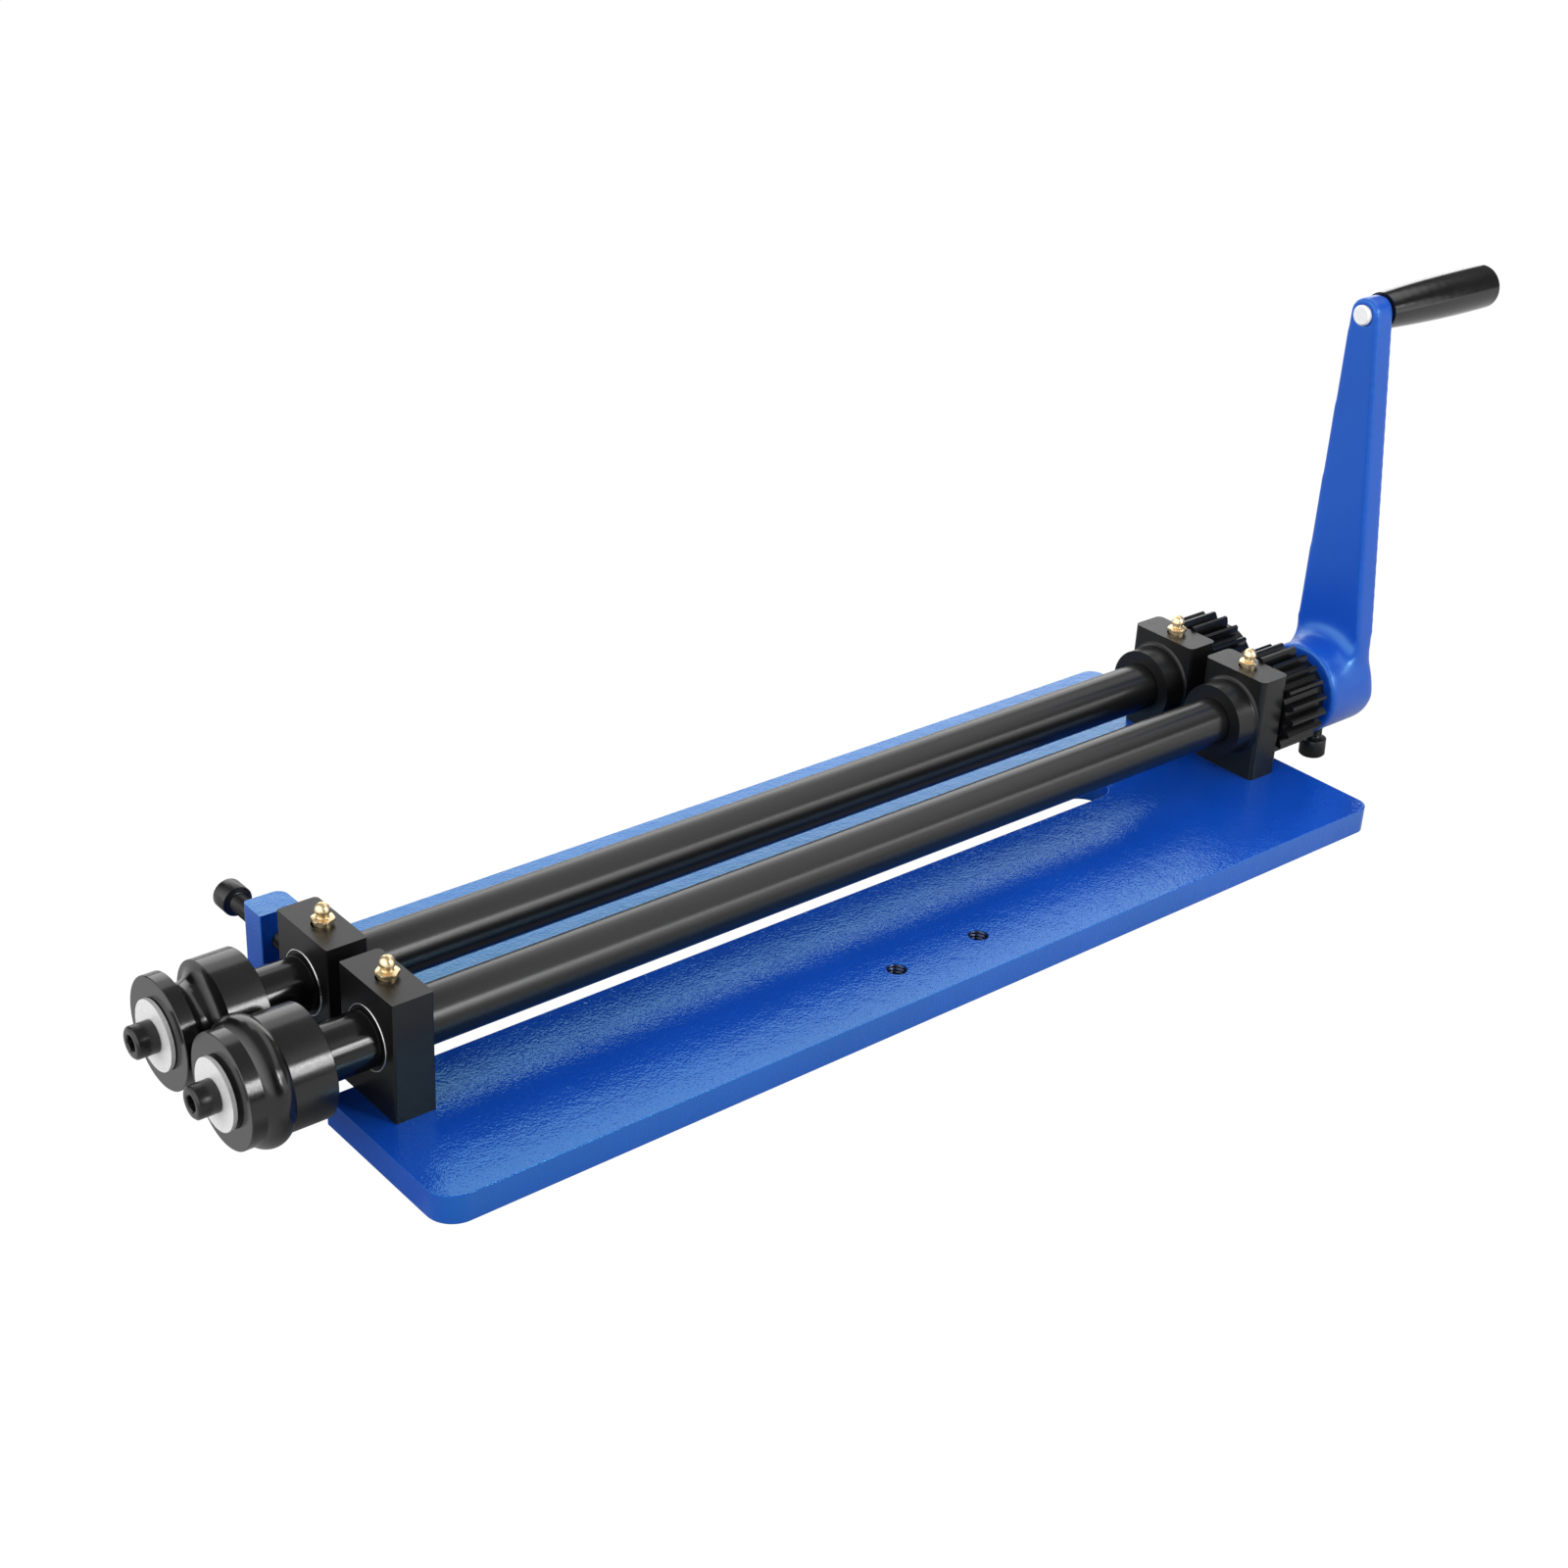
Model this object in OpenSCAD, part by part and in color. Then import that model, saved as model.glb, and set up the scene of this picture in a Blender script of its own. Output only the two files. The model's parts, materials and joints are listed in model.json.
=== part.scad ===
// Hand-cranked bead roller, in millimetres.
// The origin is midway between the two tapped holes, on the underside of the frame plate.
// X runs along the shafts towards the crank, Y towards the adjusting screw, Z up.

/* [Frame plate] */
// Length of the frame plate
plate_l = 500; // [440:5:600]
// Width of the frame plate
plate_w = 177; // [170:1:200]
// Thickness of the frame plate
plate_t = 12; // [10:0.5:16]
// Radius of the plate's corners at the roll end
corner_r = 11; // [4:1:18]
// Radius of the plate's corners at the crank end
crank_corner_r = 7; // [4:1:18]
// Width of the throat slot, whose closed end is a full round
slot_w = 22; // [16:1:24]
// Length of the throat slot, from the open end of the plate
slot_l = 414; // [300:5:420]
// Distance from the plate's front edge to the middle of the slot
slot_inset = 88.6; // [80:0.2:96]
// Distance from the plate's front edge to the tapped mounting holes
mount_inset = 22.3; // [16:0.1:30]
// Spacing of the two tapped mounting holes
mount_gap = 45; // [30:1:80]
// Core diameter of the tapped mounting holes
mount_d = 8.5; // [6:0.1:12]

/* [Bearing blocks] */
// Width of a bearing block, across the shafts
block_w = 36; // [34:0.5:38]
// Thickness of a bearing block, along the shafts
block_t = 17; // [14:0.5:24]
// Height of a bearing block
block_h = 50; // [46:0.5:60]
// Distance from the ends of the plate to the blocks
block_inset = 11.2; // [8:0.1:16]
// Length of the round boss on each gear-end block
boss_l = 12; // [6:0.5:18]
// Diameter of the round boss
boss_d = 34; // [30:0.5:36]
// Fillet at the foot of the boss
boss_fillet = 2; // [1:0.5:3]
// Radius of the upright edges of the roll-end blocks
roll_block_r = 0.8; // [0.4:0.2:2]
// Radius of the upright edges of the gear-end blocks
gear_block_r = 2.6; // [1:0.2:4]
// Outer diameter of the bushes
bush_d = 26; // [25:0.5:28]

/* [Shafts] */
// Distance between the two shafts
shaft_gap = 44.5; // [44.3:0.1:45.5]
// Height of the shafts above the plate
shaft_rise = 27.5; // [26:0.5:32]
// Diameter of the shafts
shaft_d = 22; // [18:0.5:22.5]
// Diameter of the spigots that carry the rolls
spigot_d = 18; // [14:0.5:19]

/* [Rolls] */
// Diameter of the plain part of the rolls
roll_d = 43.4; // [40:0.2:43.4]
// Length of the rolls, with the boss under the washer
roll_l = 34.7; // [30:0.1:38]
// Distance from the roll-end blocks to the rolls
roll_standoff = 23.9; // [12:0.1:40]
// Height of the boss on the outer face of the male roll
male_boss_h = 1.2; // [0.4:0.1:2]
// Height of the boss on the outer face of the female roll
female_boss_h = 0.4; // [0.2:0.1:2]
// Distance from the rolls' outer bosses to the middle of the bead
bead_offset = 12.6; // [10:0.1:15]
// Width of the raised bead on the male roll
bead_w = 11; // [6:0.2:11.4]
// Height of the raised bead on the male roll
bead_h = 2.8; // [1.5:0.1:3.5]
// Radius of the half-round groove in the female roll
groove_r = 6.3; // [6:0.1:7]

/* [Gears] */
// Number of teeth on each gear
teeth = 20; // [20:1:20]
// Module of the teeth
gear_module = 2.2; // [2.15:0.05:2.2]
// Face width of the gears
gear_w = 23.6; // [12:0.2:30]
// Length of the hub on each gear
gear_hub_l = 7.4; // [6:0.2:12]
// Diameter of the hub on each gear
gear_hub_d = 33; // [30:0.5:36]

/* [Crank] */
// Distance from the shaft to the handle
crank_throw = 177.6; // [120:0.2:240]
// Lean of the crank arm at rest
crank_tilt = 2.9; // [0:0.1:20]
// Diameter of the crank hub
hub_d = 44.2; // [40:0.2:48]
// Length of the crank hub
hub_l = 32; // [26:0.5:40]
// Thickness of the crank arm
arm_t = 12.1; // [8:0.1:16]
// Step from the outer end of the hub back to the arm
arm_inset = 1.8; // [0.6:0.1:4]
// Width of the foot of the crank arm
arm_foot_w = 40.4; // [30:0.2:44]
// Width of the top of the crank arm
arm_top_w = 15.4; // [14:0.2:24]
// Fillet between the crank hub and the arm
hub_fillet = 7; // [1:0.5:8]

/* [Handle] */
// Length of the grip
grip_l = 76.5; // [60:0.5:110]
// Largest diameter of the grip
grip_d = 20.4; // [18:0.2:28]
// Diameter of the grip beside the arm
grip_neck_d = 16.8; // [14:0.2:18]
// Diameter of the spindle that the grip turns on
spindle_d = 8; // [6:0.5:9]

/* [Adjusting screw] */
// Width of the lug, along the shafts
lug_w = 17; // [15:0.5:24]
// Thickness of the lug
lug_t = 13.6; // [8:0.2:16]
// Height of the lug above the plate
lug_h = 40.3; // [36:0.5:60]
// Gap between the rear roll block and the lug
lug_gap = 13.1; // [6:0.1:20]
// Thread diameter of the adjusting screw
screw_d = 8; // [6:0.5:10]
// Length of the adjusting screw under its head
screw_l = 47; // [38:0.5:70]
// Head diameter of the cap screws
head_d = 12.6; // [11:0.2:16]
// Head height of the cap screws
head_l = 8.7; // [6:0.1:11]

/* [Hidden] */
$fn = 64;

// Overrun of every cut past the face that it breaks
overrun = 1;
// Radial clearance of a shaft, screw or grip that turns in a hole
run_gap = 0.05;
// Radial clearance of the rear roll bush, which lets the rear shaft swing
swing_gap = 0.1;
// Clearance under a block that slides or swings on the plate
slide_gap = 0.1;
// End clearance beside a gear, a hub or the grip
side_gap = 0.4;

// Plate edges and centre lines
left_x = -plate_l / 2;
right_x = plate_l / 2;
front_edge_y = -mount_inset;
slot_y = front_edge_y + slot_inset;
front_y = slot_y - shaft_gap / 2;
rear_y = slot_y + shaft_gap / 2;
shaft_z = plate_t + shaft_rise;

// Places along the shafts, from the rolls to the crank
roll_block_x = left_x + block_inset;
gear_block_x = right_x - block_inset - block_t;
roll_end_x = roll_block_x - roll_standoff;
roll_face_x = roll_end_x - roll_l;
gear_x = gear_block_x + block_t + side_gap;
gear_end_x = gear_x + gear_w + gear_hub_l;
hub_x = gear_end_x + run_gap;
hub_end_x = hub_x + hub_l;
arm_x = hub_end_x - arm_inset - arm_t;
grip_x = arm_x + arm_t + side_gap;

// Block bolts, from below, with their heads sunk in the plate
bolt_d = 6;
bolt_head_d = 10;
bolt_head_h = 5.6;
bolt_head_gap = 0.5;
bolt_depth = 10;
bolt_gap = 13;
bolt_key = 5;
counterbore_d = bolt_head_d + 2 * bolt_head_gap;
counterbore_h = bolt_head_h + bolt_head_gap;
front_seat_y = (front_y - block_w / 2 + slot_y - slot_w / 2) / 2;
rear_seat_y = (rear_y + block_w / 2 + slot_y + slot_w / 2) / 2;
pivot_d = 8;
// Travel of the rear roll block towards the front roll and away from it
travel_in = 0.8;
travel_out = 4;
travel_spare = 0.4;

// Bushes and grease nipples
bush_hole_d = 3;
nipple_d = 8;
nipple_hex_w = 9;
nipple_foot_h = 0.6;
nipple_hex_h = 2.6;
nipple_neck_d = 5;
nipple_neck_h = 2.4;
nipple_lip_d = 6.2;
nipple_tip_d = 3.6;
nipple_dome_h = 3.1;
nipple_bore_d = 1.6;

// Washers and screws on the ends of the shafts
washer_d = 27.3;
washer_t = 1.6;
washer_hole_gap = 0.3;
roll_screw_l = 22;
socket_w = 6;
socket_depth = 4.5;
head_chamfer = 0.8;
end_chamfer = 0.7;
tap_spare = 3;
spigot_setback = 0.5;
roll_boss_d = 26.6;
rim_chamfer = 0.3;

// Keys
roll_key_w = 5;
roll_key_h = 5;
gear_key_w = 6;
gear_key_h = 6;
key_inset = 3;
key_rise_share = 0.45;

// Gear teeth
pitch_r = gear_module * teeth / 2;
tip_r = pitch_r + gear_module;
root_r = pitch_r - 1.25 * gear_module;
pressure_angle = 20;
backlash = 0.12;
front_phase = 1.6;
rear_phase = 180 - front_phase - 180 / teeth;
flank_steps = 5;
grub_d = 5;
grub_gap = 0.3;
grub_key = 2.5;

// Crank, clamp screw and handle
clamp_x = hub_x + 17.6;
clamp_lift = 8.2;
clamp_head_l = 8.8;
clamp_flat = 1;
hub_chamfer = 1.4;
back_fillet = 1.8;
shaft_end_inset = 1;
spindle_head_d = 12;
spindle_head_l = 3;
rivet_d = 9.3;
rivet_h = 1.9;
rivet_rim = 0.7;
cap_d = 14.4;
cap_t = 2;
cap_seat_z = grip_l - cap_t;
grip_wide_share = 0.76;
grip_rim_r = 2;
grip_steps = 12;
rim_steps = 6;

// Adjusting screw and lug
adjust_head_l = 9;
weld_leg = 5;

// Turns a solid drawn along Z so that it lies along X, with its own X along Y
module along_x(x, y, z) {
    translate([x, y, z]) rotate([90, 0, 90]) children();
}

// Turns a solid drawn along Z so that it lies along Y
module along_y(x, y, z) {
    translate([x, y, z]) rotate([-90, 0, 0]) children();
}

// The frame of the crank: its own Z points along the arm, from the front shaft
module on_crank() {
    translate([0, front_y, shaft_z]) rotate([-crank_tilt, 0, 0]) children();
}

// A rod with a chamfer at each end, drawn along Z from zero
module chamfered_rod(d, l, c_low, c_high) {
    rotate_extrude() polygon([
        [0, 0], [d / 2 - c_low, 0], [d / 2, c_low],
        [d / 2, l - c_high], [d / 2 - c_high, l], [0, l]
    ]);
}

// A rectangle with round corners, centred on the origin
module round_rectangle(l, w, r) {
    square([l - 2 * r, w], center = true);
    square([l, w - 2 * r], center = true);
    for (sx = [-1, 1], sy = [-1, 1])
        translate([sx * (l / 2 - r), sy * (w / 2 - r)]) circle(r);
}

// A slot with round ends along Y, centred on the origin
module y_slot(d, travel) {
    square([d, travel], center = true);
    for (s = [-1, 1]) translate([0, s * travel / 2]) circle(d / 2);
}

// A socket-head cap screw: the shank runs from zero up Z and the head below it
module cap_screw(d, l, h_d, h_l, key_w, key_depth) {
    difference() {
        union() {
            cylinder(d = d, h = l);
            translate([0, 0, -h_l]) chamfered_rod(h_d, h_l, head_chamfer, head_chamfer / 4);
        }
        translate([0, 0, -h_l - overrun])
            cylinder(d = key_w / cos(30), h = key_depth + overrun, $fn = 6);
    }
}

// Frame plate

module plate_outline() {
    translate([0, front_edge_y + plate_w / 2]) {
        translate([-plate_l / 4, 0]) round_rectangle(plate_l / 2, plate_w, corner_r);
        translate([plate_l / 4, 0]) round_rectangle(plate_l / 2, plate_w, crank_corner_r);
        square([plate_l / 2, plate_w], center = true);
    }
}

module throat_slot() {
    translate([left_x - overrun, slot_y - slot_w / 2])
        square([slot_l - slot_w / 2 + overrun, slot_w]);
    translate([left_x + slot_l - slot_w / 2, slot_y]) circle(slot_w / 2);
}

module bolt_recess(x, y) {
    translate([x, y, -overrun]) {
        cylinder(d = bolt_d + 2 * bolt_head_gap, h = plate_t + 2 * overrun);
        cylinder(d = counterbore_d, h = counterbore_h + overrun);
    }
}

module frame_plate() {
    travel = travel_in + travel_out + 2 * travel_spare;
    travel_y = rear_seat_y + (travel_out - travel_in) / 2;
    color("royalblue") difference() {
        linear_extrude(plate_t) difference() {
            plate_outline();
            throat_slot();
            for (s = [-1, 1]) translate([s * mount_gap / 2, 0]) circle(mount_d / 2);
        }
        for (x = [roll_block_x, gear_block_x], s = [-1, 1])
            bolt_recess(x + block_t / 2, front_seat_y + s * bolt_gap / 2);
        translate([roll_block_x + block_t / 2, travel_y, -overrun]) {
            linear_extrude(plate_t + 2 * overrun) y_slot(bolt_d + 2 * bolt_head_gap, travel);
            linear_extrude(counterbore_h + overrun) y_slot(counterbore_d, travel);
        }
        translate([gear_block_x + block_t / 2, rear_y, -overrun]) {
            cylinder(d = pivot_d + 2 * run_gap, h = plate_t + 2 * overrun);
            cylinder(d = head_d + 2 * bolt_head_gap, h = counterbore_h + overrun);
        }
    }
}

// Bearing blocks

module block_body(x, y, z, r) {
    translate([x + block_t / 2, y, z])
        linear_extrude(plate_t + block_h - z) round_rectangle(block_t, block_w, r);
}

module gear_boss(y) {
    along_x(gear_block_x - boss_l, y, shaft_z) cylinder(d = boss_d, h = boss_l);
    intersection() {
        along_x(gear_block_x - boss_fillet, y, shaft_z) fillet_ring(boss_d / 2, boss_fillet);
        block_body(gear_block_x - boss_l, y, plate_t + slide_gap, boss_fillet);
    }
}

module block_holes(x, y, length, lead) {
    along_x(x - lead - overrun, y, shaft_z) cylinder(d = bush_d, h = length + 2 * overrun);
    translate([x + block_t / 2, y, shaft_z + bush_d / 4])
        cylinder(d = nipple_d, h = block_h);
}

module bolt_holes(x, ys, d, depth) {
    for (y = ys) translate([x + block_t / 2, y, plate_t - overrun])
        cylinder(d = d, h = depth + overrun);
}

module front_roll_block() {
    color([0.08, 0.08, 0.09]) difference() {
        block_body(roll_block_x, front_y, plate_t, roll_block_r);
        block_holes(roll_block_x, front_y, block_t, 0);
        bolt_holes(roll_block_x, [for (s = [-1, 1]) front_seat_y + s * bolt_gap / 2],
            bolt_d, bolt_depth);
    }
}

module front_gear_block() {
    color([0.08, 0.08, 0.09]) difference() {
        union() {
            block_body(gear_block_x, front_y, plate_t, gear_block_r);
            gear_boss(front_y);
        }
        block_holes(gear_block_x, front_y, block_t + boss_l, boss_l);
        bolt_holes(gear_block_x, [for (s = [-1, 1]) front_seat_y + s * bolt_gap / 2],
            bolt_d, bolt_depth);
    }
}

module rear_roll_block() {
    color([0.08, 0.08, 0.09]) difference() {
        block_body(roll_block_x, rear_y, plate_t + slide_gap, roll_block_r);
        block_holes(roll_block_x, rear_y, block_t, 0);
        bolt_holes(roll_block_x, [rear_seat_y], bolt_d, bolt_depth);
    }
}

module rear_gear_block() {
    color([0.08, 0.08, 0.09]) difference() {
        union() {
            block_body(gear_block_x, rear_y, plate_t + slide_gap, gear_block_r);
            gear_boss(rear_y);
        }
        block_holes(gear_block_x, rear_y, block_t + boss_l, boss_l);
        bolt_holes(gear_block_x, [rear_y], pivot_d, bolt_depth);
    }
}

// Bushes, grease nipples and block bolts

module bush(x, y, length, gap) {
    color("silver") difference() {
        along_x(x, y, shaft_z) cylinder(d = bush_d, h = length);
        along_x(x - overrun, y, shaft_z)
            cylinder(d = shaft_d + 2 * gap, h = length + 2 * overrun);
        translate([x + length - block_t / 2, y, shaft_z]) cylinder(d = bush_hole_d, h = bush_d);
    }
}

module grease_nipple(x, y) {
    hex_z = plate_t + block_h + nipple_foot_h;
    neck_z = hex_z + nipple_hex_h;
    dome_z = neck_z + nipple_neck_h;
    bush_top_z = shaft_z + bush_d / 2;
    color("gold") translate([x + block_t / 2, y, 0]) difference() {
        union() {
            translate([0, 0, bush_top_z]) cylinder(d = nipple_d, h = hex_z - bush_top_z);
            translate([0, 0, hex_z])
                cylinder(d = nipple_hex_w / cos(30), h = nipple_hex_h, $fn = 6);
            translate([0, 0, neck_z]) cylinder(d = nipple_neck_d, h = nipple_neck_h);
            translate([0, 0, dome_z])
                cylinder(d1 = nipple_lip_d, d2 = nipple_tip_d, h = nipple_dome_h);
        }
        cylinder(d = nipple_bore_d, h = dome_z + nipple_dome_h + overrun);
    }
}

module block_bolt(x, y, d, h_d, key_w) {
    color([0.15, 0.15, 0.16]) translate([x + block_t / 2, y, bolt_head_h])
        cap_screw(d, plate_t + bolt_depth - bolt_head_h - end_chamfer, h_d, bolt_head_h,
            key_w, bolt_head_h / 2);
}

module front_block_bolts() {
    for (x = [roll_block_x, gear_block_x], s = [-1, 1])
        block_bolt(x, front_seat_y + s * bolt_gap / 2, bolt_d, bolt_head_d, bolt_key);
}

// Shafts, rolls and what holds them

module keyway_x(x, y, length, seat_d, key_w, key_h) {
    translate([x, y - key_w / 2, shaft_z + seat_d / 2 - key_h * (1 - key_rise_share)])
        cube([length, key_w, key_h]);
}

module roll_key(y) {
    color("dimgray") keyway_x(roll_face_x + key_inset, y, roll_l - 2 * key_inset,
        spigot_d, roll_key_w, roll_key_h);
}

module gear_key(y) {
    color("dimgray") keyway_x(gear_x, y, gear_w, shaft_d, gear_key_w, gear_key_h);
}

module shaft(y, end_x) {
    color([0.1, 0.1, 0.11]) difference() {
        union() {
            along_x(roll_face_x + spigot_setback, y, shaft_z)
                chamfered_rod(spigot_d, roll_l, end_chamfer, 0);
            along_x(roll_end_x, y, shaft_z)
                chamfered_rod(shaft_d, end_x - roll_end_x, 0, end_chamfer);
        }
        along_x(roll_face_x - overrun, y, shaft_z)
            cylinder(d = screw_d, h = roll_screw_l + tap_spare + overrun);
        keyway_x(roll_face_x + key_inset, y, roll_l - 2 * key_inset,
            spigot_d, roll_key_w, roll_key_h);
        keyway_x(gear_x, y, gear_w, shaft_d, gear_key_w, gear_key_h);
        children();
    }
}

module front_shaft() {
    shaft(front_y, hub_end_x - shaft_end_inset)
        on_crank() translate([clamp_x - screw_d, -shaft_d / 2, -shaft_d])
            cube([2 * screw_d, shaft_d, shaft_d / 2 + clamp_flat]);
}

module rear_shaft() {
    shaft(rear_y, gear_end_x + shaft_end_inset);
}

// Outline of a roll from its bore out, with X as the radius and Y along the roll
module roll_blank(boss_h) {
    polygon([
        [spigot_d / 2, 0], [roll_boss_d / 2, 0], [roll_boss_d / 2, boss_h],
        [roll_d / 2 - rim_chamfer, boss_h], [roll_d / 2, boss_h + rim_chamfer],
        [roll_d / 2, roll_l - rim_chamfer], [roll_d / 2 - rim_chamfer, roll_l],
        [spigot_d / 2, roll_l]
    ]);
}

module roll(y) {
    color([0.09, 0.09, 0.1]) difference() {
        along_x(roll_face_x, y, shaft_z) rotate_extrude() children();
        keyway_x(roll_face_x - overrun, y, roll_l + 2 * overrun,
            spigot_d, roll_key_w, roll_key_h);
    }
}

module male_roll() {
    bead_r = (pow(bead_w / 2, 2) + pow(bead_h, 2)) / (2 * bead_h);
    roll(front_y) {
        roll_blank(male_boss_h);
        intersection() {
            translate([roll_d / 2 + bead_h - bead_r, bead_offset]) circle(bead_r);
            translate([spigot_d / 2, bead_offset - bead_w / 2]) square([roll_d, bead_w]);
        }
    }
}

module female_roll() {
    roll(rear_y) difference() {
        roll_blank(female_boss_h);
        translate([roll_d / 2, bead_offset]) circle(groove_r);
    }
}

module roll_washer(y) {
    color("silver") along_x(roll_face_x - washer_t, y, shaft_z) difference() {
        cylinder(d = washer_d, h = washer_t);
        translate([0, 0, -overrun])
            cylinder(d = screw_d + 2 * washer_hole_gap, h = washer_t + 2 * overrun);
    }
}

module roll_screw(y) {
    color([0.12, 0.12, 0.13]) along_x(roll_face_x - washer_t, y, shaft_z)
        cap_screw(screw_d, roll_screw_l, head_d, head_l, socket_w, socket_depth);
}

// Gears

function involute(base_r, roll_angle) = base_r * [
    cos(roll_angle) + roll_angle * PI / 180 * sin(roll_angle),
    sin(roll_angle) - roll_angle * PI / 180 * cos(roll_angle)
];

function turned(p, a) = [p[0] * cos(a) - p[1] * sin(a), p[0] * sin(a) + p[1] * cos(a)];

// One tooth as points, symmetric about its own middle angle
function tooth_points(middle) =
    let (
        base_r = pitch_r * cos(pressure_angle),
        slack = backlash / pitch_r * 90 / PI,
        half = 90 / teeth - slack
            + (tan(pressure_angle) - pressure_angle * PI / 180) * 180 / PI,
        tip_roll = sqrt(pow(tip_r / base_r, 2) - 1) * 180 / PI,
        flank = [for (i = [0:flank_steps]) involute(base_r, tip_roll * i / flank_steps)]
    )
    concat(
        [turned([root_r, 0], middle - half)],
        [for (p = flank) turned(p, middle - half)],
        [for (i = [flank_steps:-1:0]) turned([flank[i][0], -flank[i][1]], middle + half)],
        [turned([root_r, 0], middle + half)]
    );

module spur_gear(y, phase) {
    color([0.1, 0.1, 0.11]) difference() {
        union() {
            along_x(gear_x, y, shaft_z) linear_extrude(gear_w)
                polygon([for (k = [0:teeth - 1]) each tooth_points(phase + k * 360 / teeth)]);
            along_x(gear_x + gear_w, y, shaft_z) cylinder(d = gear_hub_d, h = gear_hub_l);
        }
        along_x(gear_x - overrun, y, shaft_z)
            cylinder(d = shaft_d, h = gear_w + gear_hub_l + 2 * overrun);
        keyway_x(gear_x - overrun, y, gear_w + gear_hub_l + 2 * overrun,
            shaft_d, gear_key_w, gear_key_h);
        translate([gear_x + gear_w + gear_hub_l / 2, y, shaft_z - gear_hub_d / 2 - overrun])
            cylinder(d = grub_d, h = gear_hub_d / 2);
    }
}

module gear_set_screw(y) {
    grub_l = (gear_hub_d - shaft_d) / 2 - grub_gap;
    color([0.2, 0.2, 0.2])
        translate([gear_x + gear_w + gear_hub_l / 2, y, shaft_z - shaft_d / 2 - grub_l])
        difference() {
            cylinder(d = grub_d, h = grub_l);
            translate([0, 0, -overrun])
                cylinder(d = grub_key / cos(30), h = grub_l / 2 + overrun, $fn = 6);
        }
}

// Crank and handle

// Arm outline in its own plane: a taper that meets the round of its top on a tangent
module arm_outline() {
    foot_r = arm_foot_w / 2;
    top_r = arm_top_w / 2;
    lean = asin((foot_r - top_r) / crank_throw);
    polygon([
        [-foot_r * cos(lean), 0], [foot_r * cos(lean), 0],
        [foot_r * cos(lean), foot_r * sin(lean)],
        [top_r * cos(lean), crank_throw + top_r * sin(lean)],
        [-top_r * cos(lean), crank_throw + top_r * sin(lean)],
        [-foot_r * cos(lean), foot_r * sin(lean)]
    ]);
    circle(foot_r);
    translate([0, crank_throw]) circle(top_r);
}

// A ring with a hollow fillet, from radius r out, drawn up Z from zero
module fillet_ring(r, fillet) {
    rotate_extrude() difference() {
        square([r + fillet, fillet]);
        translate([r + fillet, 0]) circle(fillet);
    }
}

module crank() {
    color("royalblue") on_crank() difference() {
        union() {
            along_x(hub_x, 0, 0) chamfered_rod(hub_d, hub_l, 0, hub_chamfer);
            along_x(arm_x, 0, 0) linear_extrude(arm_t) arm_outline();
            intersection() {
                union() {
                    along_x(arm_x - hub_fillet, 0, 0) fillet_ring(hub_d / 2, hub_fillet);
                    along_x(arm_x + arm_t + back_fillet, 0, 0) mirror([0, 0, 1])
                        fillet_ring(hub_d / 2 - hub_chamfer, back_fillet);
                }
                along_x(arm_x - hub_fillet, 0, 0)
                    linear_extrude(hub_fillet + arm_t + back_fillet) intersection() {
                        arm_outline();
                        translate([-hub_d, hub_d / 4]) square([2 * hub_d, hub_d]);
                    }
            }
        }
        along_x(hub_x - overrun, 0, 0) cylinder(d = shaft_d, h = hub_l + 2 * overrun);
        along_x(arm_x - overrun, 0, crank_throw)
            cylinder(d = spindle_d, h = arm_t + 2 * overrun);
        translate([clamp_x, 0, -hub_d]) cylinder(d = screw_d, h = hub_d);
    }
}

module crank_clamp_screw() {
    color([0.12, 0.12, 0.13]) on_crank() translate([clamp_x, 0, -hub_d / 2 - clamp_lift])
        cap_screw(screw_d, hub_d / 2 + clamp_lift - shaft_d / 2 + clamp_flat,
            head_d, clamp_head_l, socket_w, socket_depth);
}

// The shouldered rod that the grip turns on, riveted over on the near side of the arm
module handle_spindle() {
    head_z = arm_t + side_gap + cap_seat_z - side_gap - spindle_head_l;
    color("silver") on_crank() along_x(arm_x, 0, crank_throw) {
        translate([0, 0, -rivet_h]) chamfered_rod(rivet_d, rivet_h, rivet_rim, 0);
        cylinder(d = spindle_d, h = head_z);
        translate([0, 0, head_z]) cylinder(d = spindle_head_d, h = spindle_head_l);
    }
}

function grip_swell(s) =
    grip_d / 2 - (grip_d - grip_neck_d) / 2 * pow(1 - s / grip_wide_share, 2);

// Radius of the grip at a share of its length
function grip_swell(s) =
    grip_d / 2 - (grip_d - grip_neck_d) / 2 * pow(1 - s / grip_wide_share, 2);

// Outline of the grip: a long swell, then a rounded rim round the flat end
function grip_outline() =
    let (swell_l = grip_l - grip_rim_r, rim_r = grip_swell(swell_l / grip_l) - grip_rim_r)
    concat(
        [for (i = [0:grip_steps - 1]) let (s = swell_l / grip_l * i / grip_steps)
            [grip_swell(s), s * grip_l]],
        [for (i = [0:rim_steps]) let (a = 90 * i / rim_steps)
            [rim_r + grip_rim_r * cos(a), swell_l + grip_rim_r * sin(a)]]
    );

module handle_grip() {
    color([0.05, 0.05, 0.05]) on_crank() along_x(grip_x, 0, crank_throw) difference() {
        rotate_extrude() polygon(concat([[0, 0]], grip_outline(), [[0, grip_l]]));
        translate([0, 0, -overrun])
            cylinder(d = spindle_d + 2 * run_gap, h = cap_seat_z + overrun);
        translate([0, 0, cap_seat_z - spindle_head_l - 2 * side_gap])
            cylinder(d = spindle_head_d + 2 * side_gap, h = spindle_head_l + cap_t);
        translate([0, 0, cap_seat_z]) cylinder(d = cap_d, h = grip_l);
    }
}

module grip_end_cap() {
    color([0.06, 0.06, 0.06]) on_crank() along_x(grip_x + cap_seat_z, 0, crank_throw)
        chamfered_rod(cap_d, cap_t, 0, end_chamfer);
}

// Adjusting screw and its lug

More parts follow.
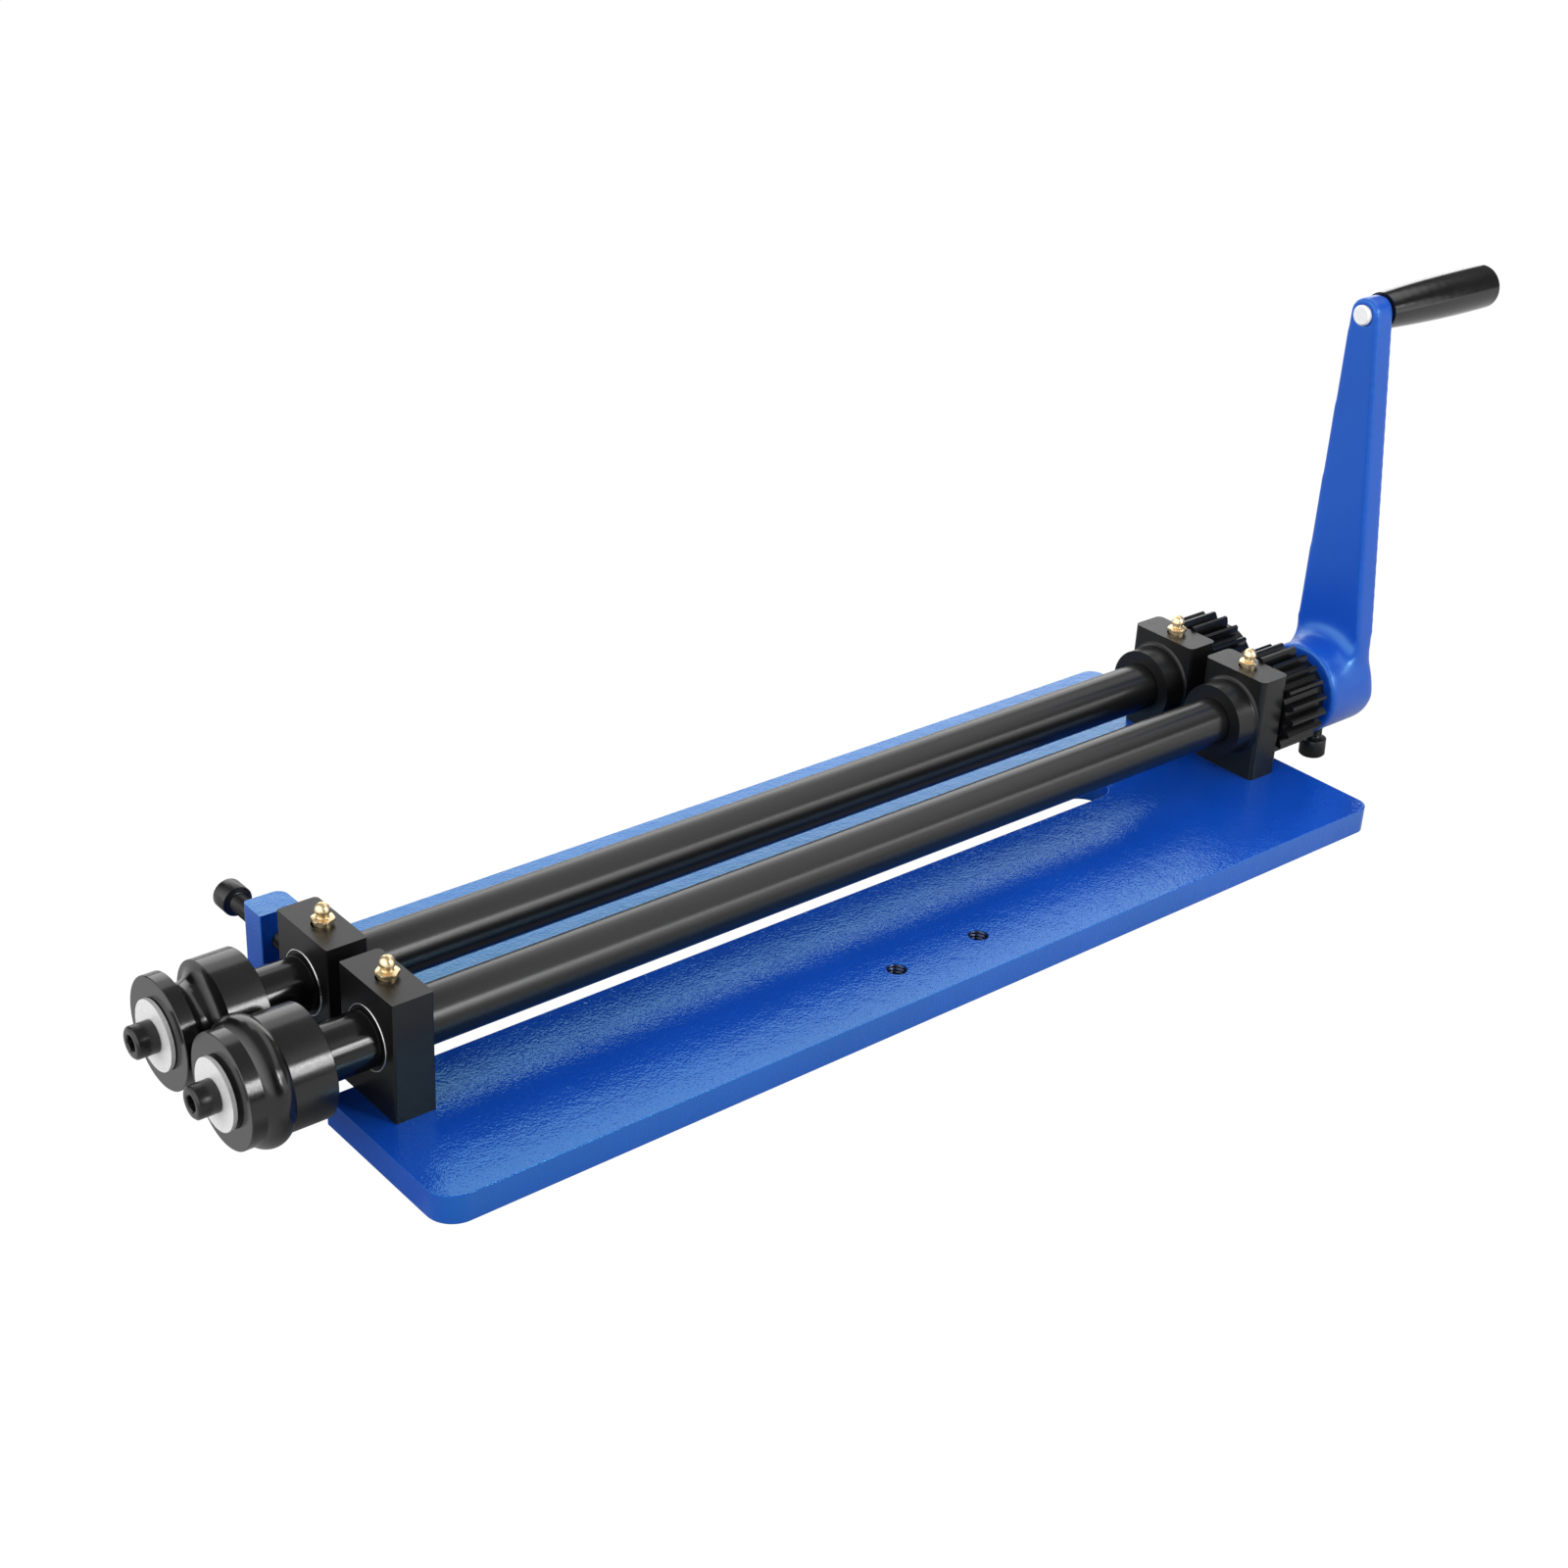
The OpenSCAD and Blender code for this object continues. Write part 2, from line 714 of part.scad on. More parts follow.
module adjuster_lug() {
    lug_y = rear_y + block_w / 2 + lug_gap;
    mid_x = roll_block_x + block_t / 2;
    color("royalblue") difference() {
        union() {
            translate([mid_x, lug_y + lug_t / 2, plate_t])
                linear_extrude(lug_h) round_rectangle(lug_w, lug_t, roll_block_r);
            translate([mid_x - lug_w / 2, lug_y + lug_t, plate_t]) rotate([90, 0, 90])
                linear_extrude(lug_w) polygon([[0, 0], [weld_leg, 0], [0, weld_leg]]);
        }
        along_y(mid_x, lug_y - overrun, shaft_z)
            cylinder(d = screw_d + 2 * run_gap, h = lug_t + 2 * overrun);
    }
}

module adjusting_screw() {
    color([0.12, 0.12, 0.13])
        along_y(roll_block_x + block_t / 2, rear_y + block_w / 2 + screw_l, shaft_z)
        mirror([0, 0, 1])
        cap_screw(screw_d, screw_l, head_d, adjust_head_l, socket_w, socket_depth);
}

frame_plate();
adjuster_lug();
front_roll_block();
front_gear_block();
bush(roll_block_x, front_y, block_t, run_gap);  // front_roll_bush
bush(gear_block_x - boss_l, front_y, block_t + boss_l, run_gap);  // front_gear_bush
grease_nipple(roll_block_x, front_y);  // front_roll_nipple
grease_nipple(gear_block_x, front_y);  // front_gear_nipple
front_block_bolts();
rear_roll_block();
bush(roll_block_x, rear_y, block_t, swing_gap);  // rear_roll_bush
grease_nipple(roll_block_x, rear_y);  // rear_roll_nipple
block_bolt(roll_block_x, rear_seat_y, bolt_d, bolt_head_d, bolt_key);  // rear_guide_bolt
rear_gear_block();
bush(gear_block_x - boss_l, rear_y, block_t + boss_l, run_gap);  // rear_gear_bush
grease_nipple(gear_block_x, rear_y);  // rear_gear_nipple
block_bolt(gear_block_x, rear_y, pivot_d, head_d, socket_w);  // rear_pivot_bolt
adjusting_screw();
front_shaft();
male_roll();
roll_key(front_y);  // front_roll_key
roll_washer(front_y);  // front_roll_washer
roll_screw(front_y);  // front_roll_screw
spur_gear(front_y, front_phase);  // drive_gear
gear_key(front_y);  // front_gear_key
gear_set_screw(front_y);  // drive_gear_set_screw
crank();
crank_clamp_screw();
handle_spindle();
rear_shaft();
female_roll();
roll_key(rear_y);  // rear_roll_key
roll_washer(rear_y);  // rear_roll_washer
roll_screw(rear_y);  // rear_roll_screw
spur_gear(rear_y, rear_phase);  // driven_gear
gear_key(rear_y);  // rear_gear_key
gear_set_screw(rear_y);  // driven_gear_set_screw
handle_grip();
grip_end_cap();
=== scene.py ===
import json
import math

import bmesh
import bpy
import numpy as np
from mathutils import Matrix, Vector


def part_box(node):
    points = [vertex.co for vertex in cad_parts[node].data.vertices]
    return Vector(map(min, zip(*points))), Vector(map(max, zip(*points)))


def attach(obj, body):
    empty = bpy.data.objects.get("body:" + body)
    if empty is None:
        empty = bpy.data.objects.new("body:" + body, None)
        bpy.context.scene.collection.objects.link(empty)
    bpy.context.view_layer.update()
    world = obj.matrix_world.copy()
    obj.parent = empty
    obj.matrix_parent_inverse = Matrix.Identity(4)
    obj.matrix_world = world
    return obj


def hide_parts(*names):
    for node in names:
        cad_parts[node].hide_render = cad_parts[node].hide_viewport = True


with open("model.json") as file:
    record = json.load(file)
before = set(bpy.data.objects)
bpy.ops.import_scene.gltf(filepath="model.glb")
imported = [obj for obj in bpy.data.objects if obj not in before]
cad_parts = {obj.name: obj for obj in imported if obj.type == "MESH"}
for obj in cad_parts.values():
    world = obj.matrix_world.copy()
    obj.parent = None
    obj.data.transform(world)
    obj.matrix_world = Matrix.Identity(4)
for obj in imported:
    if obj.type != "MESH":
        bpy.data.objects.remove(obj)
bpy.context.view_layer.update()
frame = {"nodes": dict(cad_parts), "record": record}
print("bead roller: frame loaded")

mm = 0.001
nodes = frame["nodes"]
bodyOf = {}
for bodyName, bodyNodes in frame["record"]["behaviour"]["bodies"].items():
    for nodeName in bodyNodes:
        bodyOf[nodeName] = bodyName
slotOf = {row["node"]: row["material_slot"] for row in frame["record"]["subparts"]}

# camera: the viewpoint that was solved from the photo, in metres
camera = {
    "place": (-0.60816, -0.59896, 0.53336),
    "right": (0.76949182, -0.63698486, 0.04618047),
    "up": (0.2661372, 0.38555004, 0.88347165),
    "back": (-0.58056294, -0.66753386, 0.46620297),
    "lensMm": 56.463,
    "sensorMm": 36.0,
    "clip": (0.01, 50.0),
}


def makeCamera():
    data = bpy.data.cameras.new("photoCamera")
    data.sensor_fit = "HORIZONTAL"
    data.sensor_width = camera["sensorMm"]
    data.lens = camera["lensMm"]
    data.clip_start, data.clip_end = camera["clip"]
    obj = bpy.data.objects.new("photoCamera", data)
    turn = Matrix((camera["right"], camera["up"], camera["back"])).transposed()
    obj.matrix_world = Matrix.Translation(camera["place"]) @ turn.to_4x4()
    bpy.context.scene.collection.objects.link(obj)
    bpy.context.scene.camera = obj


makeCamera()
print("bead roller: camera set")


# shader helpers: each one adds a node to a tree and returns its output
def newFinish(name):
    mat = bpy.data.materials.new(name)
    mat.use_nodes = True
    tree = mat.node_tree
    tree.nodes.clear()
    out = tree.nodes.new("ShaderNodeOutputMaterial")
    shader = tree.nodes.new("ShaderNodeBsdfPrincipled")
    tree.links.new(shader.outputs["BSDF"], out.inputs["Surface"])
    coords = tree.nodes.new("ShaderNodeTexCoord")
    return mat, tree, shader, coords.outputs["Object"]


def noiseOn(tree, place, perMetre, detail=2.0, rough=0.5):
    noise = tree.nodes.new("ShaderNodeTexNoise")
    noise.inputs["Scale"].default_value = perMetre
    noise.inputs["Detail"].default_value = detail
    noise.inputs["Roughness"].default_value = rough
    tree.links.new(place, noise.inputs["Vector"])
    return noise.outputs["Fac"]


def rangeOf(tree, value, low, high, fromLow=0.3, fromHigh=0.7):
    node = tree.nodes.new("ShaderNodeMapRange")
    node.inputs["From Min"].default_value = fromLow
    node.inputs["From Max"].default_value = fromHigh
    node.inputs["To Min"].default_value = low
    node.inputs["To Max"].default_value = high
    tree.links.new(value, node.inputs["Value"])
    return node.outputs["Result"]


def colourBetween(tree, value, low, high, fromLow=0.3, fromHigh=0.7):
    ramp = tree.nodes.new("ShaderNodeValToRGB")
    first, last = ramp.color_ramp.elements
    first.position, last.position = fromLow, fromHigh
    first.color, last.color = (*low, 1.0), (*high, 1.0)
    tree.links.new(value, ramp.inputs["Fac"])
    return ramp.outputs["Color"]


def bumpFrom(tree, height, strength, distanceMm, before=None):
    bump = tree.nodes.new("ShaderNodeBump")
    bump.inputs["Strength"].default_value = strength
    bump.inputs["Distance"].default_value = distanceMm * mm
    tree.links.new(height, bump.inputs["Height"])
    if before is not None:
        tree.links.new(before, bump.inputs["Normal"])
    return bump.outputs["Normal"]


def joined(tree, operation, first, second):
    node = tree.nodes.new("ShaderNodeMath")
    node.operation = operation
    tree.links.new(first, node.inputs[0])
    if isinstance(second, float):
        node.inputs[1].default_value = second
    else:
        tree.links.new(second, node.inputs[1])
    return node.outputs["Value"]


# finishes, one dictionary each; colours are linear, and bump and rough go with the grain's noise
plateBlue = {
    "deep": (0.004, 0.057, 0.41), "fresh": (0.006, 0.067, 0.46), "cloudsPerMetre": 20.0,
    "rough": 0.075, "roughSpread": (-0.02, 0.04), "specular": 1.0, "tint": (0.20, 0.90, 1.0),
    "peelPerMetre": 880.0, "peel": 1.0, "peelMm": 0.17,
    "swellShare": 0.16, "swellPeel": 0.5, "swellDepth": 2.0,  # the longer waves, as shares of the peel's values
}
castBlue = dict(plateBlue, deep=(0.0036, 0.053, 0.39), fresh=(0.005, 0.062, 0.43), peelPerMetre=420.0, peel=0.35,
                peelMm=0.10, rough=0.30, tint=(0.38, 0.90, 1.0), specular=0.80)
darkCloud = {"perMetre": 45.0, "darkest": 0.82, "lightest": 1.20, "roughSpread": (-0.03, 0.04), "bumpMm": 0.02}
brightCloud = {"darkest": 0.88, "roughSpread": (-0.04, 0.05), "bumpMm": 0.02}
blockBlack = {"colour": (0.0060, 0.0060, 0.0060), "rough": 0.31, "grainPerMetre": 750.0, "bump": 0.14, "specular": 0.30}
shaftBlack = {"colour": (0.0050, 0.0050, 0.0050), "rough": 0.27, "grainPerMetre": 2600.0, "bump": 0.01, "specular": 0.42,
              "polishedEnd": -0.2388, "polishedRough": 0.17, "polishedColour": (0.005, 0.005, 0.005)}
rollBlack = {"colour": (0.0055, 0.0055, 0.0055), "rough": 0.19, "grainPerMetre": 1200.0, "bump": 0.01, "specular": 0.50}
gearBlack = {"colour": (0.004, 0.004, 0.004), "rough": 0.30, "grainPerMetre": 900.0, "bump": 0.05, "specular": 0.26}
screwBlack = {"colour": (0.006, 0.006, 0.0062), "rough": 0.30, "grainPerMetre": 1100.0, "bump": 0.08, "specular": 0.42}
# bushShadeBlack is near black in place of bush metal: painted shade where the shafts run into the bores
bushShadeBlack = {"colour": (0.006, 0.006, 0.006), "rough": 0.45, "grainPerMetre": 900.0, "bump": 0.10, "specular": 0.25}
gripBlack = {"colour": (0.006, 0.006, 0.0065), "rough": 0.16, "grainPerMetre": 420.0, "bump": 0.12, "specular": 0.5}
zincBright = {"colour": (0.83, 0.83, 0.83), "rough": 0.45, "grainPerMetre": 900.0, "bump": 0.02, "metal": 0.35}
# threadShadeNavy is a dark navy, far darker than bare steel: the shade inside the mounting holes painted into the
# thread's colour
threadShadeNavy = {"colour": (0.035, 0.046, 0.085), "rough": 0.32, "grainPerMetre": 900.0, "bump": 0.03}
steelBright = {"colour": (0.86, 0.86, 0.85), "rough": 0.28, "grainPerMetre": 900.0, "bump": 0.10}
brassBright = {"colour": (0.88, 0.70, 0.42), "rough": 0.33, "grainPerMetre": 900.0, "bump": 0.03}


def bluePaint(name, look):
    mat, tree, shader, place = newFinish(name)
    cloud = noiseOn(tree, place, look["cloudsPerMetre"], 3.0)
    tree.links.new(colourBetween(tree, cloud, look["deep"], look["fresh"]), shader.inputs["Base Color"])
    peel = noiseOn(tree, place, look["peelPerMetre"], 1.5)
    swell = noiseOn(tree, place, look["peelPerMetre"] * look["swellShare"], 1.0)
    smooth, dull = (look["rough"] + spread for spread in look["roughSpread"])
    tree.links.new(rangeOf(tree, peel, smooth, dull), shader.inputs["Roughness"])
    wavy = bumpFrom(tree, swell, look["peel"] * look["swellPeel"], look["peelMm"] * look["swellDepth"])
    tree.links.new(bumpFrom(tree, peel, look["peel"], look["peelMm"], wavy), shader.inputs["Normal"])
    shader.inputs["Specular IOR Level"].default_value = look["specular"]
    shader.inputs["Specular Tint"].default_value = (*look["tint"], 1.0)
    return mat


def darkFinish(name, look):
    mat, tree, shader, place = newFinish(name)
    grain = noiseOn(tree, place, look["grainPerMetre"], 3.0, 0.6)
    cloud = noiseOn(tree, place, darkCloud["perMetre"], 2.0)
    low = tuple(c * darkCloud["darkest"] for c in look["colour"])
    high = tuple(c * darkCloud["lightest"] for c in look["colour"])
    smooth, dull = (look["rough"] + spread for spread in darkCloud["roughSpread"])
    tree.links.new(colourBetween(tree, cloud, low, high), shader.inputs["Base Color"])
    tree.links.new(rangeOf(tree, grain, smooth, dull), shader.inputs["Roughness"])
    tree.links.new(bumpFrom(tree, grain, look["bump"], darkCloud["bumpMm"]), shader.inputs["Normal"])
    shader.inputs["Specular IOR Level"].default_value = look["specular"]
    return mat


def shaftFinish(name, look):
    # satin between the blocks, polished from the roll block to the end that the roll sits on
    mat, tree, shader, place = newFinish(name)
    grain = noiseOn(tree, place, look["grainPerMetre"], 2.0)
    split = tree.nodes.new("ShaderNodeSeparateXYZ")
    tree.links.new(place, split.inputs["Vector"])
    start, end = look["polishedEnd"] - mm, look["polishedEnd"] + mm
    polished = rangeOf(tree, split.outputs["X"], 1.0, 0.0, start, end)
    colour = colourBetween(tree, polished, look["colour"], look["polishedColour"], 0.0, 1.0)
    tree.links.new(colour, shader.inputs["Base Color"])
    tree.links.new(rangeOf(tree, polished, look["rough"], look["polishedRough"], 0.0, 1.0), shader.inputs["Roughness"])
    tree.links.new(bumpFrom(tree, grain, look["bump"], darkCloud["bumpMm"]), shader.inputs["Normal"])
    shader.inputs["Specular IOR Level"].default_value = look["specular"]
    return mat


def brightFinish(name, look):
    mat, tree, shader, place = newFinish(name)
    grain = noiseOn(tree, place, look["grainPerMetre"], 3.0, 0.6)
    low = tuple(c * brightCloud["darkest"] for c in look["colour"])
    smooth, dull = (look["rough"] + spread for spread in brightCloud["roughSpread"])
    tree.links.new(colourBetween(tree, grain, low, look["colour"]), shader.inputs["Base Color"])
    tree.links.new(rangeOf(tree, grain, smooth, dull), shader.inputs["Roughness"])
    tree.links.new(bumpFrom(tree, grain, look["bump"], brightCloud["bumpMm"]), shader.inputs["Normal"])
    shader.inputs["Metallic"].default_value = look.get("metal", 1.0)
    return mat


finish = {
    "plateBlue": bluePaint("plateBlue", plateBlue),
    "castBlue": bluePaint("castBlue", castBlue),
    "blockBlack": darkFinish("blockBlack", blockBlack),
    "shaftBlack": shaftFinish("shaftBlack", shaftBlack),
    "rollBlack": darkFinish("rollBlack", rollBlack),
    "gearBlack": darkFinish("gearBlack", gearBlack),
    "screwBlack": darkFinish("screwBlack", screwBlack),
    "bushShadeBlack": darkFinish("bushShadeBlack", bushShadeBlack),
    "gripBlack": darkFinish("gripBlack", gripBlack),
    "zincBright": brightFinish("zincBright", zincBright),
    "threadShadeNavy": brightFinish("threadShadeNavy", threadShadeNavy),
    "steelBright": brightFinish("steelBright", steelBright),
    "brassBright": brightFinish("brassBright", brassBright),
}
finishOfSlot = {
    "blue_paint": "plateBlue", "black_block": "blockBlack", "black_shaft": "shaftBlack", "black_gear": "gearBlack",
    "black_roll": "rollBlack", "black_screw": "screwBlack", "bright_zinc": "zincBright", "bush_metal": "steelBright",
    "brass": "brassBright", "black_plastic": "gripBlack",
}
# nodes whose finish is not their slot's; the four bushes are near black, painted shade where the shafts run into the
# bores
finishOfNode = {"crank": "castBlue", "front_roll_bush": "bushShadeBlack", "rear_roll_bush": "bushShadeBlack",
                "front_gear_bush": "bushShadeBlack", "rear_gear_bush": "bushShadeBlack"}


def finishFor(nodeName):
    return finish[finishOfNode.get(nodeName, finishOfSlot[slotOf[nodeName]])]


for nodeName, nodeObj in nodes.items():
    nodeObj.data.materials.clear()
    nodeObj.data.materials.append(finishFor(nodeName))
print("bead roller: finishes on", len(nodes), "nodes")


# copies of the solids whose edges are eased
easedEdges = {  # node: edge width in mm, segments, least edge angle in degrees
    "frame_plate": (0.6, 3, 30.0),
    "adjuster_lug": (0.5, 3, 30.0),
    "front_roll_block": (0.35, 2, 30.0),
    "rear_roll_block": (0.35, 2, 30.0),
    "front_gear_block": (0.8, 3, 30.0),
    "rear_gear_block": (0.8, 3, 30.0),
    "drive_gear": (0.18, 2, 32.0),
    "driven_gear": (0.18, 2, 32.0),
}
# node: upright edges as x, y, sign of x outwards, sign of y outwards, radius, lowest z, all in mm
roundedUprights = {
    "adjuster_lug": [(-221.8, 133.25, 1, 1, 4.5, 17.2), (-238.8, 133.25, -1, 1, 2.0, 17.2)],
    "front_roll_block": [(-221.8, 62.05, 1, 1, 2.2, 11.0)],
    "rear_roll_block": [(-221.8, 106.55, 1, 1, 1.9, 11.0)],
}


cornerCuts = {"turns": (0.0, 0.2, 0.4, 0.6, 0.8), "ledgeMm": 0.1, "tiny": 1e-7}  # turns as shares of 45 degrees


def roundUpright(work, x, y, outX, outY, radius, fromZ):
    # cuts through the corner's square give it points, and those beyond the radius are pulled in onto the quarter circle
    middle = Vector((x - outX * radius, y - outY * radius, 0.0)) * mm
    tiny = cornerCuts["tiny"]
    planes = [(Vector((0.0, 0.0, z * mm)), Vector((0.0, 0.0, 1.0))) for z in (fromZ, fromZ + cornerCuts["ledgeMm"])]
    for turn in cornerCuts["turns"]:
        reach = radius * mm * math.tan(turn * math.pi / 4)
        planes.append((middle + Vector((outX * reach, 0.0, 0.0)), Vector((1.0, 0.0, 0.0))))
        planes.append((middle + Vector((0.0, outY * reach, 0.0)), Vector((0.0, 1.0, 0.0))))
    for place, normal in planes:
        bmesh.ops.bisect_plane(work, geom=work.verts[:] + work.edges[:] + work.faces[:], dist=tiny,
                               plane_co=place, plane_no=normal)
    for point in work.verts:
        along, across = (point.co.x - middle.x) * outX, (point.co.y - middle.y) * outY
        far = math.hypot(along, across)
        if min(along, across) > -tiny and far > radius * mm and point.co.z > fromZ * mm + 10 * tiny:
            point.co.x = middle.x + outX * along * radius * mm / far
            point.co.y = middle.y + outY * across * radius * mm / far


def mergedCopy(nodeName):
    mesh = nodes[nodeName].data.copy()
    mesh.name = nodeName + "_looks"
    work = bmesh.new()
    work.from_mesh(mesh)
    bmesh.ops.remove_doubles(work, verts=work.verts, dist=0.00001)
    bmesh.ops.dissolve_limit(work, angle_limit=math.radians(0.6), verts=work.verts, edges=work.edges)
    for corner in roundedUprights.get(nodeName, []):
        roundUpright(work, *corner)
    for face in work.faces:
        face.smooth = True
    work.to_mesh(mesh)
    work.free()
    if "custom_normal" in mesh.attributes:
        mesh.attributes.remove(mesh.attributes["custom_normal"])
    obj = bpy.data.objects.new(nodeName + "_looks", mesh)
    bpy.context.scene.collection.objects.link(obj)
    return obj


def standsFor(obj, nodeName):
    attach(obj, bodyOf[nodeName])
    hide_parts(nodeName)


for nodeName, (widthMm, segments, angle) in easedEdges.items():
    eased = mergedCopy(nodeName)
    bevel = eased.modifiers.new("edge", "BEVEL")
    bevel.width = widthMm * mm
    bevel.segments = segments
    bevel.limit_method = "ANGLE"
    bevel.angle_limit = math.radians(angle)
    bevel.harden_normals = True
    standsFor(eased, nodeName)
print("bead roller: edges eased")


# the crank is a casting: its copy is remeshed finely and smoothed, most where the arm runs into the hub
crankAxis = {"y": 44.05, "z": 39.5}  # mm
crankCasting = {
    "voxelMm": 0.70, "rounds": 16, "pull": 0.6, "blendRounds": 60, "blendPull": 0.7,
    "hubRadiusMm": 22.1, "blendReachMm": 11.0,  # the blend is full at the hub's radius and gone at its reach
    "belowAxisMm": 4.0, "riseMm": 8.0, "fromXMm": 274.5, "fadeXMm": 4.0, "boreMm": 11.8, "boreFadeMm": 2.0,
}


def makeCrank():
    c = crankCasting
    obj = mergedCopy("crank")
    remesh = obj.modifiers.new("voxels", "REMESH")
    remesh.mode = "VOXEL"
    remesh.voxel_size = c["voxelMm"] * mm
    remesh.use_smooth_shade = True
    bpy.context.view_layer.objects.active = obj
    with bpy.context.temp_override(object=obj, active_object=obj):
        bpy.ops.object.modifier_apply(modifier="voxels")
    mesh = obj.data
    count = len(mesh.vertices)
    points = np.empty(count * 3)
    mesh.vertices.foreach_get("co", points)
    points = points.reshape(-1, 3)
    edges = np.empty(len(mesh.edges) * 2, dtype=np.int64)
    mesh.edges.foreach_get("vertices", edges)
    edges = edges.reshape(-1, 2)
    low, high = (np.array(corner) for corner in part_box("crank"))
    across = points[:, 1:] / mm - (crankAxis["y"], crankAxis["z"])
    fromAxis = np.hypot(across[:, 0], across[:, 1])
    # weight 1 near the ring where the arm leaves the hub, 0 at the blend's reach, and 0 inside the bore
    blend = np.clip(1.0 - np.abs(fromAxis - c["hubRadiusMm"]) / c["blendReachMm"], 0.0, 1.0)
    blend *= np.clip((across[:, 1] + c["belowAxisMm"]) / c["riseMm"], 0.0, 1.0)
    blend *= np.clip((points[:, 0] / mm - c["fromXMm"]) / c["fadeXMm"], 0.0, 1.0)
    keepBore = np.clip((fromAxis - c["boreMm"]) / c["boreFadeMm"], 0.0, 1.0)
    valence = np.bincount(edges.ravel(), minlength=count).astype(float)[:, None]

    def averaged(p):
        # each point moves to the mean of the points that it shares an edge with
        total = np.zeros_like(p)
        for axis in range(3):
            total[:, axis] = (np.bincount(edges[:, 0], p[edges[:, 1], axis], count)
                              + np.bincount(edges[:, 1], p[edges[:, 0], axis], count))
        return total / valence

    for _ in range(c["rounds"]):
        points = points + (averaged(points) - points) * (c["pull"] * keepBore[:, None])
    for _ in range(c["blendRounds"]):
        points = points + (averaged(points) - points) * (c["blendPull"] * (blend * keepBore)[:, None])
    mesh.vertices.foreach_set("co", np.clip(points, low, high).ravel())
    mesh.update()
    standsFor(obj, "crank")
    obj.data.materials.clear()
    obj.data.materials.append(finish["castBlue"])


makeCrank()
print("bead roller: crank cast")


turning = {"steps": 72, "mergeMm": 0.002, "sharpDegrees": 32.0, "noClip": 1e9}


# turned pieces: a profile of stations carried round an axis
def turnedSurface(name, material, axis, centre, stations, steps=turning["steps"], corner=0.0, thread=None):
    # station = (place along the axis, radius, hex share, clip radius), in mm; the last two may be left out.
    # A point's radius is the station's radius, divided by the cosine of the angle from the nearest flat as far as the
    # station is a hexagon, never more than the clip radius; a thread adds a ridge that climbs one pitch a turn.
    rows = np.array([station + (0.0, turning["noClip"])[len(station) - 2:] for station in stations], dtype=float)
    along, radius, share, clip = (rows[:, [i]] for i in range(4))
    angle = (np.arange(steps) * 2.0 * np.pi / steps)[None, :]
    fromFlat = (angle - math.radians(corner)) % (np.pi / 3.0) - np.pi / 6.0
    reach = radius * (1.0 - share + share / np.cos(fromFlat))
    reach = np.minimum(reach, clip)
    if thread is not None:
        pitch, depth, start, end, fade = thread
        phase = (along / pitch - angle / (2.0 * np.pi)) % 1.0
        ridge = depth * (1.0 - np.abs(2.0 * phase - 1.0) * 2.0) * 0.5
        inside = np.clip((along - start) / fade, 0.0, 1.0) * np.clip((end - along) / fade, 0.0, 1.0)
        reach = reach + ridge * inside
    first, second = reach * np.cos(angle), reach * np.sin(angle)
    line = along + np.zeros_like(first)
    order = {"x": (line, first, second), "y": (second, line, first), "z": (first, second, line)}[axis]
    points = np.stack(order, axis=-1).reshape(-1, 3) * mm + np.array(centre) * mm
    count, around = first.shape
    here = np.arange(count * around).reshape(count, around)
    nextOne = np.roll(here, -1, axis=1)
    faces = np.stack([here[:-1], nextOne[:-1], nextOne[1:], here[1:]], axis=-1).reshape(-1, 4)
    mesh = bpy.data.meshes.new(name)
    mesh.from_pydata(points.tolist(), [], faces.tolist())
    work = bmesh.new()
    work.from_mesh(mesh)
    bmesh.ops.remove_doubles(work, verts=work.verts, dist=turning["mergeMm"] * mm)
    bmesh.ops.dissolve_degenerate(work, edges=work.edges, dist=turning["mergeMm"] * mm / 2)
    bmesh.ops.recalc_face_normals(work, faces=work.faces)
    for face in work.faces:
        face.smooth = True
    work.to_mesh(mesh)
    work.free()
    mesh.set_sharp_from_angle(angle=math.radians(turning["sharpDegrees"]))
    mesh.materials.append(finish[material])
    obj = bpy.data.objects.new(name, mesh)
    bpy.context.scene.collection.objects.link(obj)
    return obj


nipple = {  # mm; the hexagon's and the dome's heights are above the block's top
    "blockTop": 62.0, "hexFlatR": 4.15, "cornerR": 4.6, "footR": 3.7, "neckR": 2.35, "domeR": 3.05, "threadR": 3.3,
    "hexFrom": 1.35, "hexTo": 2.65, "domeFrom": 4.85, "shiftX": 0.5, "shiftY": -0.35,
}
nippleCorners = {  # how far each hexagon is turned, in degrees
    "front_roll_nipple": 39.0, "rear_roll_nipple": 17.0, "front_gear_nipple": 30.0, "rear_gear_nipple": 19.0,
}


